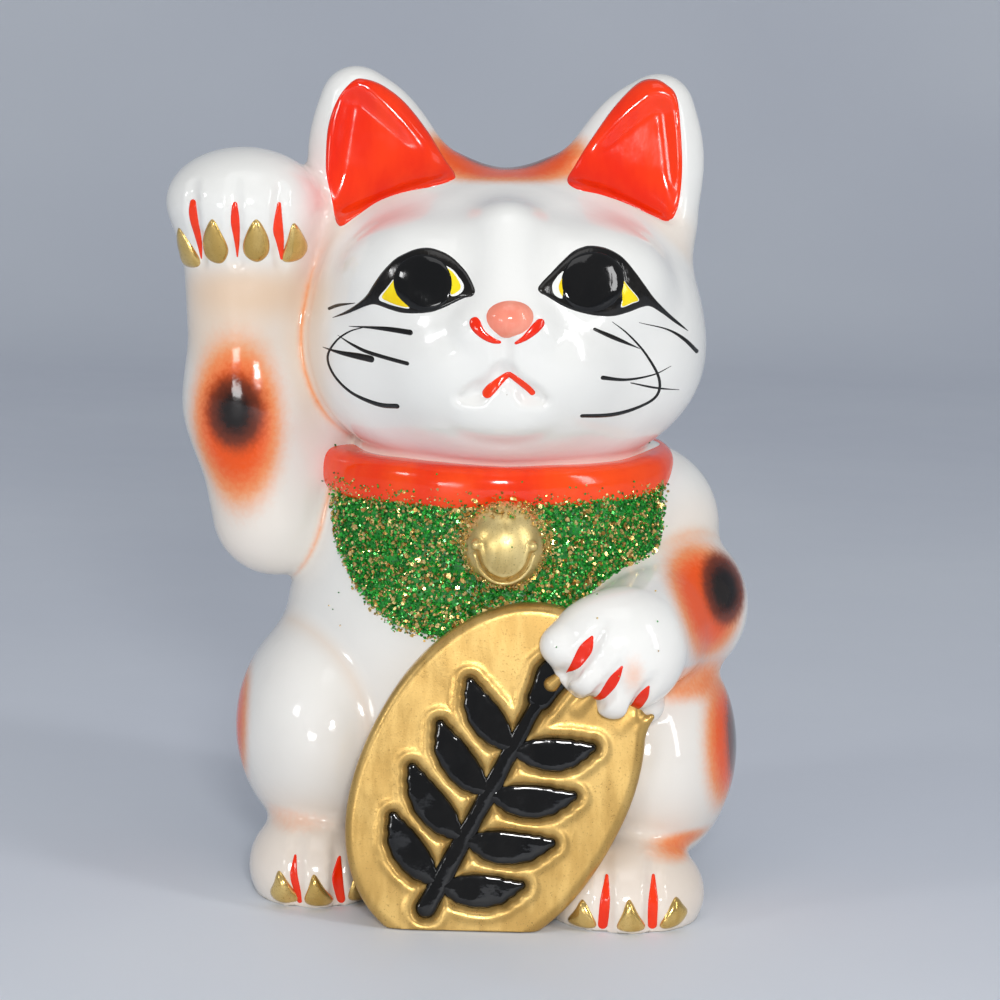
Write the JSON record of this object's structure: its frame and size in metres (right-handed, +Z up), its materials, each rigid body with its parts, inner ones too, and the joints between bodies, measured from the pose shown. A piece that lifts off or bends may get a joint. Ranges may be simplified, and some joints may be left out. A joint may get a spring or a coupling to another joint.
{
  "type": "ceramic cat figurine",
  "caption": "Glazed sitting cat figurine with one raised paw, a collar with a bell, a glitter bib and an oval gold plaque on its lap.",
  "frame": {"origin": "middle of the footprint, on the surface that the cat stands on", "axes": "+Z up, the cat faces -Y, its raised right paw is on the -X side"},
  "size_m": [0.129, 0.108, 0.1792],
  "materials": {
    "white_glaze": "high gloss clear glaze over white slip, with soft airbrushed orange and black patches",
    "red_glaze": "glossy hand-brushed red enamel",
    "pink_glaze": "satin pink enamel",
    "gold_paint": "satin gold bronze paint",
    "black_enamel": "glossy black enamel",
    "glitter": "rough glued green and gold glitter"
  },
  "bodies": {
    "root": {"torso": "white_glaze", "head": "white_glaze", "right_ear": "white_glaze", "left_ear": "white_glaze", "raised_arm": "white_glaze", "lowered_arm": "white_glaze", "right_leg": "white_glaze", "left_leg": "white_glaze", "tail": "white_glaze", "right_ear_lining": "red_glaze", "left_ear_lining": "red_glaze", "collar": "red_glaze", "right_eye": "black_enamel", "left_eye": "black_enamel", "nose": "pink_glaze", "bell": "gold_paint", "bib": "glitter", "plaque": "gold_paint", "raised_paw_claw_1": "gold_paint", "raised_paw_claw_2": "gold_paint", "raised_paw_claw_3": "gold_paint", "raised_paw_claw_4": "gold_paint", "right_foot_claw_1": "gold_paint", "right_foot_claw_2": "gold_paint", "right_foot_claw_3": "gold_paint", "left_foot_claw_1": "gold_paint", "left_foot_claw_2": "gold_paint", "left_foot_claw_3": "gold_paint", "enamel_stem": "black_enamel", "enamel_bud": "black_enamel", "enamel_leaf_right_1": "black_enamel", "enamel_leaf_left_1": "black_enamel", "enamel_leaf_right_2": "black_enamel", "enamel_leaf_left_2": "black_enamel", "enamel_leaf_right_3": "black_enamel", "enamel_leaf_left_3": "black_enamel", "enamel_leaf_right_4": "black_enamel", "enamel_leaf_left_4": "black_enamel"}
  },
  "joints": []
}
